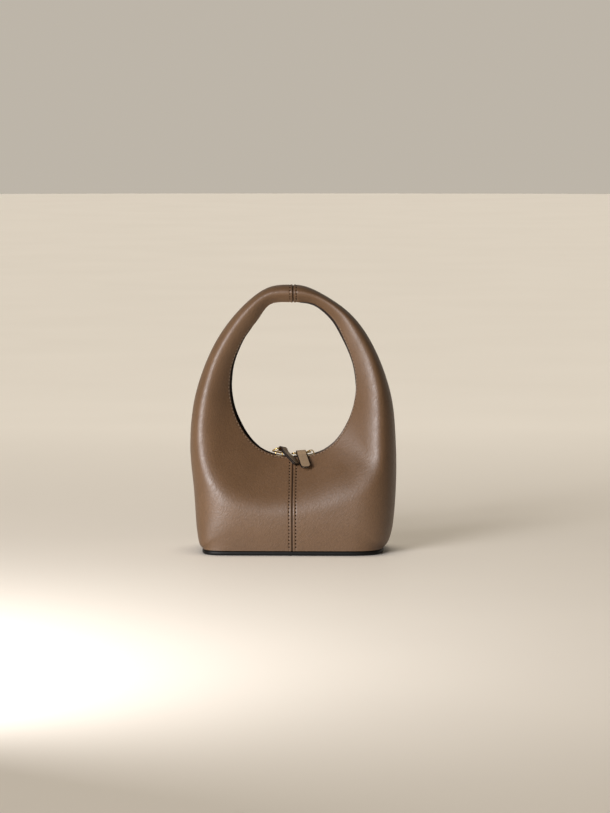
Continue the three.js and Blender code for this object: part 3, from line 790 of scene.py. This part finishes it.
# %% Teeth
TOOTH_PITCH = 1.5
TOOTH_LONG, TOOTH_WIDE = 3.4, 1.15
PULL_AT = {LEFT: -0.097, RIGHT: 0.118}  # places q of the sliders
SLIDER_LENGTH, SLIDER_POST = 10, 2.6
MOUTH_HALF = 165  # about half of the zip's length


def signed_power(value, power):
    """A power of the size of a value that keeps its sign, as superellipses need it."""
    return np.sign(value) * np.abs(value) ** power


def rounded_block(x, y, z, boxy=5.0, rings=5, around=8):
    """A closed block with rounded edges: rings of a superellipse that close at both ends."""
    polar = np.linspace(-np.pi / 2, np.pi / 2, rings)[:, None]
    turn = np.linspace(0, 2 * np.pi, around + 1)[None, :]
    power = 2 / boxy
    ring = signed_power(np.cos(polar), power)
    grid = [ring * signed_power(way(turn), power) for way in (np.cos, np.sin)]
    grid.append(np.broadcast_to(signed_power(np.sin(polar), power), grid[0].shape))
    return np.stack(grid, -1) * np.array([x, y, z]) / 2


tooth = rounded_block(TOOTH_WIDE, TOOTH_LONG, CHAIN_ABOVE + CHAIN_BELOW)
for side, name in ((LEFT, "zip_chain_left"), (RIGHT, "zip_chain_right")):
    inner_end = PULL_AT[side] + side * (SLIDER_LENGTH / 2 - 2 * SLIDER_POST) / MOUTH_HALF
    ends = np.interp([inner_end, side], q, zip_length)
    runs = np.arange(ends.min() + TOOTH_PITCH, ends.max() - TOOTH_PITCH / 2, TOOTH_PITCH)
    middle, tangent_at, inward_at = zip_frame(np.interp(runs, zip_length, q))
    shift = np.where(np.arange(len(runs)) % 2, 1, -1) * (CHAIN_HALF - TOOTH_LONG / 2)
    middle = middle + inward_at * (CHAIN_BELOW - CHAIN_ABOVE) / 2
    axes = np.stack([tangent_at, np.tile([0.0, 1, 0], (len(runs), 1)), -inward_at], 1)
    blocks = np.einsum("abk,nkc->nabc", tooth, axes) + middle[:, None, None]
    blocks[..., 1] += shift[:, None, None]
    make_piece(name + "_teeth", [(block, 0) for block in blocks], [gold], name)

# %% [markdown]
# ## Sliders and links
# A slider is two plates that squeeze the teeth together, a post between them and a bridge on
# top. A link of drawn wire hangs in the bridge and carries the leather pull. Wire is a circle
# carried along a path, so both the bridge and the link come from one function.

# %% Wire and plates
PLATE, SLIDER_WIDTH, POST_WIDTH = 1.2, 7.4, 3.2
BRIDGE_LENGTH, BRIDGE_HEIGHT, BRIDGE_WIRE = 8, 5.6, 1.0
LINK_LENGTH, LINK_WIDTH, LINK_WIRE, LINK_CORNER = 20, 8.6, 1.5, 2.0
PLATE_FOOT = CHAIN_ABOVE + 2 * FIT
PLATE_TOP = PLATE_FOOT + PLATE
LINK_RIDE = 3.05  # height of the link's wire over the plate
BRIDGE_HOLD = PLATE_TOP + LINK_RIDE
BRIDGE_SINK, BRIDGE_ARCH = 0.4, 0.6  # how deep its feet stand in the plate, power of its arch
BRIDGE_POINTS, WIRE_AROUND = 25, 16
POST_SHORT = 1  # the post ends inside both plates


def wire(path, side_way, radius, closed):
    """A circle carried along a path that lies in a plane: side_way is the plane's normal."""
    ahead = np.roll(path, -1, 0) - np.roll(path, 1, 0)
    if not closed:
        ahead[0], ahead[-1] = path[1] - path[0], path[-1] - path[-2]
    out = unit(np.cross(unit(ahead), side_way))
    turn = np.linspace(0, 2 * np.pi, WIRE_AROUND + 1)[None, :, None]
    circle = np.cos(turn) * out[:, None] + np.sin(turn) * np.asarray(side_way)
    tube = path[:, None] + radius * circle
    if closed:
        return np.concatenate([tube, tube[:1]])
    tips = [np.broadcast_to(path[i], tube[0].shape)[None] for i in (0, -1)]
    return np.concatenate([tips[0], tube, tips[1]])


def rounded_rectangle(length, width, corner, steps=8):
    """Points round a rectangle with round corners, in the plane of X and Y."""
    turn = np.linspace(0, np.pi / 2, steps)
    arcs = []
    for k, (sx, sy) in enumerate([(1, 1), (-1, 1), (-1, -1), (1, -1)]):
        angle = turn + k * np.pi / 2
        centre = np.array([sx * (length / 2 - corner), sy * (width / 2 - corner)])
        arcs.append(centre + corner * np.stack([np.cos(angle), np.sin(angle)], -1))
    points = np.concatenate(arcs)
    return np.concatenate([points, np.zeros((len(points), 1))], 1)


def put(grid, x, y, origin):
    """Turns a grid so that its axes lie along x, y and their cross product, and moves it."""
    return grid @ np.stack([x, y, np.cross(x, y)]) + origin


print("top of the slider's plate over the zip in mm:", round(PLATE_TOP, 2))

# %% Slider and link before they are placed
bridge_turn = np.linspace(0, np.pi, BRIDGE_POINTS)
bridge_arch = (BRIDGE_HEIGHT - BRIDGE_WIRE / 2) * np.sin(bridge_turn) ** BRIDGE_ARCH
bridge_path = np.stack(
    [
        (BRIDGE_LENGTH - BRIDGE_WIRE) / 2 * signed_power(np.cos(bridge_turn), BRIDGE_ARCH),
        np.zeros(BRIDGE_POINTS),
        PLATE_TOP - BRIDGE_SINK + bridge_arch,
    ],
    -1,
)
lowest = -CHAIN_BELOW - 2 * FIT - PLATE
plate = rounded_block(SLIDER_LENGTH, SLIDER_WIDTH, PLATE, boxy=4, rings=9, around=40)
post_height = PLATE_TOP - lowest - POST_SHORT
post = rounded_block(SLIDER_POST, POST_WIDTH, post_height, boxy=6, rings=9, around=24)
slider_parts = [
    plate + (0, 0, PLATE_FOOT + PLATE / 2),
    plate + (0, 0, lowest + PLATE / 2),
    post + (SLIDER_LENGTH / 2 - SLIDER_POST, 0, (PLATE_TOP + lowest) / 2),
    wire(bridge_path, (0, 1, 0), BRIDGE_WIRE / 2, False),
]
link_path = rounded_rectangle(LINK_LENGTH - LINK_WIRE, LINK_WIDTH - LINK_WIRE, LINK_CORNER)
link = wire(link_path, (0, 0, 1), LINK_WIRE / 2, True)
print("slider height in mm:", round(PLATE_TOP + BRIDGE_HEIGHT - lowest, 1))

# %% [markdown]
# ## Leather pulls
# A pull is one strap of thin leather, folded over the bar of the link and glued to itself,
# with rounded ends and black painted edges. It is made the same way: a flat cross-section is
# carried along the line of the strap, up one side, round the bar and down the other, and it
# narrows towards both ends.

# %% Strap of a pull
TAB_WIDTH, TAB_LENGTH, TAB_THICK, TAB_CORNER, TAB_SKIN = 9.6, 24, 2.6, 3.2, 1.2
EYE = LINK_WIRE / 2 + 2 * FIT
TAB_TIP = 0.25  # this near to its ends the strap's points crowd together
TAB_FINE = (0.5, 14)  # ways from its ends between which they lie close
TAB_COARSE = (14.6, 0.4)  # way from its ends and drop from the bar, where they lie wider apart
TAB_CLOSE = 2.4  # radii of the eye below the bar at which both legs meet
TAB_BOXY, TAB_AROUND = 7, 32  # of the strap's cross-section
PAINT_FROM = 0.72  # cosine in the cross-section from which its sides are painted


def tab_grid():
    """The strap round the bar, which runs along X through the origin, hanging along -Z.
    Returns its grid and one material number per face, 1 on the painted edges."""
    round_bar = EYE + TAB_SKIN / 2
    close = (TAB_THICK - TAB_SKIN) / 2
    tip = TAB_TIP * (1 - np.cos(np.linspace(0.4, np.pi / 2, 8)))
    drop = np.concatenate([[0.0], tip, np.linspace(*TAB_FINE, 22)])
    upper = np.linspace(-TAB_LENGTH + TAB_COARSE[0], -TAB_COARSE[1], 16)
    z = np.concatenate([-TAB_LENGTH + drop, upper])
    f = np.clip(-z / (TAB_CLOSE * round_bar), 0, 1)
    y = round_bar + (close - round_bar) * f * f * (3 - 2 * f)
    turn = np.linspace(0, np.pi, 17)
    arc = np.stack([-round_bar * np.cos(turn), round_bar * np.sin(turn)], -1)
    leg = np.stack([-y, z], -1)
    line = np.concatenate([leg, arc, (leg * (-1, 1))[::-1]])
    step = np.linalg.norm(np.diff(line, axis=0), axis=1)
    run = np.concatenate([[0], step.cumsum()])
    to_end = np.minimum(run, run[-1] - run)
    rest = np.maximum(TAB_CORNER - to_end, 0)
    half_width = TAB_WIDTH / 2 - TAB_CORNER + np.sqrt(np.maximum(TAB_CORNER**2 - rest**2, 0))
    ahead = unit(np.gradient(line, axis=0))
    out = np.stack([-ahead[:, 1], ahead[:, 0]], -1)
    around = np.linspace(0, 2 * np.pi, TAB_AROUND + 1)
    across = signed_power(np.cos(around), 2 / TAB_BOXY)
    thick = signed_power(np.sin(around), 2 / TAB_BOXY) * TAB_SKIN / 2
    yz = line[:, None] + thick[None, :, None] * out[:, None]
    grid = np.concatenate([(half_width[:, None] * across)[..., None], yz], -1)
    ends = [np.broadcast_to([0, *line[i]], grid[:1].shape) for i in (0, -1)]
    grid = np.concatenate([ends[0], grid, ends[1]])
    side_face = np.abs(np.cos((around[1:] + around[:-1]) / 2)) > PAINT_FROM
    looks = np.tile(side_face, (len(grid) - 1, 1)).astype(int)
    looks[[0, 1, -2, -1]] = 1  # both ends of the strap
    return grid, looks


strap, strap_looks = tab_grid()
print("strap length in mm, folded:", TAB_LENGTH)

# %% Placing sliders, links and pulls
# bar is the link's long way and reach its short way. hold is where on the link the bridge
# holds it, in half lengths and half widths, fold is how far along the bar the strap sits,
# and hang is the way in which the strap hangs.
NOT_RUBBED = 10.0  # millimetres to a sewn edge, so far that the leather isn't rubbed
PULLS = {
    "left": dict(
        side=LEFT,
        bar=[0.535, 0.818, -0.213],
        reach=[0.72, -0.5, 0.48],
        hold=[0.4, -1],
        fold=-0.2,
        hang=[0.58, -0.58, -0.57],
    ),
    "right": dict(
        side=RIGHT,
        bar=[-0.965, -0.235, -0.06],
        reach=[0.05, -0.95, 0.14],
        hold=[-1, 0],
        fold=0.9,
        hang=[0.26, -0.8, -0.52],
    ),
}


def square_to(axis, direction):
    """The part of a direction that stands square to an axis."""
    direction = np.asarray(direction, float)
    return unit(direction - direction.dot(axis) * axis)


for name, pull in PULLS.items():
    (middle,), (tangent_at,), (inward_at,) = zip_frame(PULL_AT[pull["side"]])
    to_middle = -pull["side"] * tangent_at
    across = np.cross(-inward_at, to_middle)
    slider_grids = [(put(part, to_middle, across, middle), 0) for part in slider_parts]
    make_piece(f"zip_slider_{name}_cast", slider_grids, [gold], f"zip_slider_{name}")

    bar = unit(np.array(pull["bar"]))
    reach = square_to(bar, pull["reach"])
    half_length, half_width = (LINK_LENGTH - LINK_WIRE) / 2, (LINK_WIDTH - LINK_WIRE) / 2
    centre = middle - inward_at * BRIDGE_HOLD
    centre = centre - pull["hold"][0] * half_length * bar - pull["hold"][1] * half_width * reach
    link_grid = put(link, bar, reach, centre)
    make_piece(f"pull_link_{name}_wire", [(link_grid, 0)], [gold], f"pull_link_{name}")

    hang = square_to(bar, pull["hang"])
    fold = centre + pull["fold"] * bar + half_width * reach
    tab = put(strap, bar, np.cross(bar, hang), fold)
    to_edge = [np.full(tab.shape[:2], NOT_RUBBED)]
    make_piece(
        f"pull_tab_{name}_strap",
        [(tab, strap_looks)],
        [pale_taupe, paint],
        f"pull_tab_{name}",
        {"to_edge": to_edge},
    )

# %% [markdown]
# ## Stitches
# The halves are sewn along the mouth with pale thread and beside the centre seams with
# thread close to the leather's colour. A stitch is a short arched capsule that dives into a
# needle hole at both ends. One capsule is worked out once and set along each sewing line by
# whole-array sums. The holes are flat beads between the stitches, and their near-black is
# painted shade of the holes.

# %% One stitch, set along a line
STITCH_PITCH = 3.6
STITCH_LONG = 2.7
THREAD = 0.3  # radius
STITCH_RISE, STITCH_DIVE = 0.2, 0.55  # of its middle over the line, of its ends below that
HOLE_THICK, HOLE_RISE = 0.5, 0.12
MOUTH_HOLE, SEAM_HOLE = 0.4, 0.9  # half of a needle hole's width


def sew(name, lines, thread, hole):
    """Sets stitches and needle holes along lines of (points, normals). Each stitch is a tube
    whose middle rises over the leather and whose ends sink into it."""
    s = np.linspace(-1, 1, 7)[:, None]
    turn = np.linspace(0, 2 * np.pi, 7)[None, :]
    radius = THREAD * np.sqrt(np.maximum(1 - s**4, 0))
    height = radius * np.cos(turn) + STITCH_RISE - STITCH_DIVE * s**2
    template = np.broadcast_arrays(s * STITCH_LONG / 2, radius * np.sin(turn), height)
    template = np.stack(template, -1)
    # The bead takes the second finish, the painted shade of a needle hole.
    bead = rounded_block(2 * hole, 2 * hole, HOLE_THICK, boxy=2.2, rings=4, around=8)
    bead = bead + np.array([0, 0, HOLE_RISE])
    sheets = []
    for points, normals in lines:
        run = np.concatenate([[0], np.linalg.norm(np.diff(points, axis=0), axis=1).cumsum()])
        at = np.arange(STITCH_PITCH / 2, run[-1] - STITCH_PITCH / 2, STITCH_PITCH)

        def read(values, where):
            """Values at given ways along the line, in straight steps between its points."""
            return np.stack([np.interp(where, run, values[:, k]) for k in range(3)], -1)

        ahead = np.gradient(points, axis=0)
        for where, shape, look in ((at, template, 0), (at + STITCH_PITCH / 2, bead, 1)):
            normal = unit(read(normals, where))
            t = read(ahead, where)
            t = unit(t - (t * normal).sum(-1, keepdims=True) * normal)
            axes = np.stack([t, np.cross(normal, t), normal], 1)
            made = np.einsum("abk,nkc->nabc", shape, axes) + read(points, where)[:, None, None]
            sheets += [(grid, look) for grid in made]
    make_piece(name, sheets, [thread, needle_hole_painted_shade])


def sewing_line(side, face, u, w, sink):
    """Points on the leather at sections u and shares w, sunk into the furrow, and normals."""
    normal = leather_normal(side, face, u, w)
    return leather(side, face, u, w) - sink * normal, normal


print("stitches on ten centimetres:", round(100 / STITCH_PITCH))

# %% Sewing lines
MOUTH_SEWN = (0.12, 10.6)  # sections between which the edge of the mouth is sewn
SEAM_SEWN = (0.995, 0.035)  # shares of a section between which the centre seam is sewn
HANDLE_SEWN = (0.1, 0.97)  # and the seam on the handle
HANDLE_LIP = 3.0  # from the seam on the handle to its thread
MOUTH_SINK, SEAM_SINK, HANDLE_SINK = 0.2, 0.25, 0.2  # of a thread's line into its furrow
GUESS, ROUNDS = 0.2, 8  # first guess in rows, and how often it is bettered


def beside_seam(side, face, w, from_row, way):
    """Sections at which the leather lies a given way from a centre seam, by repeated scaling."""
    v = np.full_like(w, GUESS)
    for _ in range(ROUNDS):
        u = np.abs(from_row - v)
        v = v * way / (np.abs(leather(side, face, u, w)[:, 0]) - SEAM_GAP / 2)
    return np.abs(from_row - v)


for face, face_name in ((FRONT, "front"), (BACK, "back")):
    mouth_lines, seam_lines, handle_lines = [], [], []
    for side in (LEFT, RIGHT):
        u = np.linspace(*MOUTH_SEWN, 500)
        w = EDGE_SEAM / edge_run(side, face, u)
        mouth_lines.append(sewing_line(side, face, u, w, MOUTH_SINK))
        w = np.linspace(*SEAM_SEWN, 200)
        u = beside_seam(side, face, w, 0, SEAM_LIP)
        seam_lines.append(sewing_line(side, face, u, w, SEAM_SINK))
        w = np.linspace(*HANDLE_SEWN, 160)
        u = beside_seam(side, face, w, LAST_ROW, HANDLE_LIP)
        handle_lines.append(sewing_line(side, face, u, w, HANDLE_SINK))
    sew(f"mouth_stitches_{face_name}", mouth_lines, pale_thread, MOUTH_HOLE)
    sew(f"centre_stitches_{face_name}", seam_lines + handle_lines, brown_thread, SEAM_HOLE)

# %% [markdown]
# ## Floor and light
# A plain pale floor carries the bag and runs on far behind it. Its colour is darker near the
# bag and paler far behind it: painted shade near the bag and painted light far away, which
# offset the uneven light of the lamps on the floor. A soft window stands close to the bag at
# the front left, so its light is stronger on the left half than on the right one. A weak wide
# sun comes from the same side. A lamp overhead lights the floor alone, so the floor stays pale
# while the light on the bag is low. The room is bright behind the bag and dim in front of it.

# %% Floor
FLOOR_MIDDLE, FLOOR_RADIUS = 0.5, 12.0  # rings of the disc, in metres
FLOOR_AROUND = 96
# The floor's two tones are painted: darker near the bag as painted shade, paler far behind as
# painted light.
FLOOR_NEAR_PAINTED_SHADE, FLOOR_FAR_PAINTED_LIGHT, FLOOR_CLOUD = "#d1cbc2", "#fdf8ef", "#e6e0d5"
FLOOR_PAINTED_FADE = (0.1, 1.2)  # metres behind the bag between which it turns paler
turn = np.linspace(0, 2 * np.pi, FLOOR_AROUND + 1)[None, :]
reach = np.array([0, FLOOR_MIDDLE, FLOOR_RADIUS])[:, None]
disc = np.stack(np.broadcast_arrays(reach * np.cos(turn), reach * np.sin(turn), 0 * turn), -1)
floor_mesh = bpy.data.meshes.new("floor")
index = np.arange(disc.shape[0] * disc.shape[1]).reshape(disc.shape[:2])
corners = [index[:-1, :-1], index[1:, :-1], index[1:, 1:], index[:-1, 1:]]
floor_mesh.from_pydata(disc.reshape(-1, 3), [], np.stack(corners, -1).reshape(-1, 4))
floor = bpy.data.objects.new("floor", floor_mesh)
bpy.context.scene.collection.objects.link(floor)
pale, tree, shader = finish("floor, matt off-white", Roughness=0.6, IOR=1.45)
place = add(tree, "ShaderNodeTexCoord").outputs["Object"]
wash = add(tree, "ShaderNodeTexNoise", {"Vector": place, "Scale": 3.0, "Detail": 2.0})
away = add(tree, "ShaderNodeSeparateXYZ", {0: place}).outputs["Y"]
tone = add(
    tree,
    "ShaderNodeMix",
    {"Factor": 0.0, "A": linear(FLOOR_NEAR_PAINTED_SHADE), "B": linear(FLOOR_FAR_PAINTED_LIGHT)},
    data_type="RGBA",
)
painted_fade = add(
    tree,
    "ShaderNodeMapRange",
    {"Value": away, "From Min": FLOOR_PAINTED_FADE[0], "From Max": FLOOR_PAINTED_FADE[1]},
)
tree.links.new(painted_fade.outputs[0], tone.inputs["Factor"])
shade = add(
    tree,
    "ShaderNodeMix",
    {"Factor": 0.0, "A": tone.outputs["Result"], "B": linear(FLOOR_CLOUD)},
    data_type="RGBA",
)
cloudy = add(tree, "ShaderNodeMapRange", {"Value": wash.outputs["Fac"], "To Max": 0.3})
tree.links.new(cloudy.outputs[0], shade.inputs["Factor"])
tree.links.new(shade.outputs["Result"], shader.inputs["Base Color"])
floor_mesh.materials.append(pale)
print("floor radius in m:", FLOOR_RADIUS)

# %% Light of the room
ROOM_TONE = "#d7cec0"
ROOM_FRONT, ROOM_BACK = 0.1, 0.75  # strength of the room's light in front and behind
ROOM_BRIGHT = (0, 0.95, 0.3)  # the room is brightest this way
ROOM_FADE = (0.15, 0.95)  # cosines to that way between which it turns bright

world = bpy.data.worlds.new("room")
world.use_nodes = True
net = world.node_tree
way = add(
    net,
    "ShaderNodeVectorMath",
    {0: add(net, "ShaderNodeTexCoord").outputs["Generated"], 1: ROOM_BRIGHT},
    operation="DOT_PRODUCT",
)
behind = add(
    net,
    "ShaderNodeMapRange",
    {
        "Value": way.outputs["Value"],
        "From Min": ROOM_FADE[0],
        "From Max": ROOM_FADE[1],
        "To Min": ROOM_FRONT,
        "To Max": ROOM_BACK,
    },
    interpolation_type="SMOOTHSTEP",
)
room = net.nodes["Background"]
room.inputs["Color"].default_value = linear(ROOM_TONE)
net.links.new(behind.outputs[0], room.inputs["Strength"])
bpy.context.scene.world = world
bpy.context.scene.view_settings.view_transform = "Standard"
print("room, strength in front and behind:", ROOM_FRONT, ROOM_BACK)

# %% Window, sun and lamp
SUN_FROM = np.array([-0.5, -0.8, 0.4])
SUN_STRENGTH = 1.3
SUN_WIDTH = np.radians(24)
WINDOW_FROM = np.array([-0.56, -0.81, 0.15])
WINDOW_AT, WINDOW_AWAY = np.array([0, 0, 0.12]), 0.95  # what it faces, and how far from that
WINDOW_SIZE, WINDOW_POWER = (0.5, 0.4), 9.8
FLOOR_LIGHT = 1.35
DAY_TINT, LAMP_TINT = "#fbf9fb", "#fff5e6"


def turned_from(direction):
    """Angles that turn a light so that it shines from a direction towards the bag."""
    tilt = np.arccos(direction[2] / np.linalg.norm(direction))
    return tilt, 0, np.arctan2(direction[0], -direction[1])


sun = bpy.data.objects.new("daylight", bpy.data.lights.new("daylight", "SUN"))
sun.data.energy, sun.data.angle = SUN_STRENGTH, SUN_WIDTH
sun.rotation_euler = turned_from(SUN_FROM)
window = bpy.data.objects.new("window", bpy.data.lights.new("window", "AREA"))
window.data.shape, window.data.energy = "RECTANGLE", WINDOW_POWER
window.data.size, window.data.size_y = WINDOW_SIZE
window.location = WINDOW_AT + WINDOW_AWAY * unit(WINDOW_FROM)
window.rotation_euler = turned_from(WINDOW_FROM)
window.visible_camera = False
lamp_light = bpy.data.lights.new("lamp over the floor", "SUN")
lamp = bpy.data.objects.new("lamp over the floor", lamp_light)
lamp.data.energy, lamp.data.angle = FLOOR_LIGHT, SUN_WIDTH
lit = bpy.data.collections.new("lit by the lamp")
lit.objects.link(floor)
lamp.light_linking.receiver_collection = lit
for light, tint in ((sun, DAY_TINT), (window, DAY_TINT), (lamp, LAMP_TINT)):
    light.data.color = linear(tint)[:3]
    bpy.context.scene.collection.objects.link(light)
print("lights:", len(bpy.data.lights))
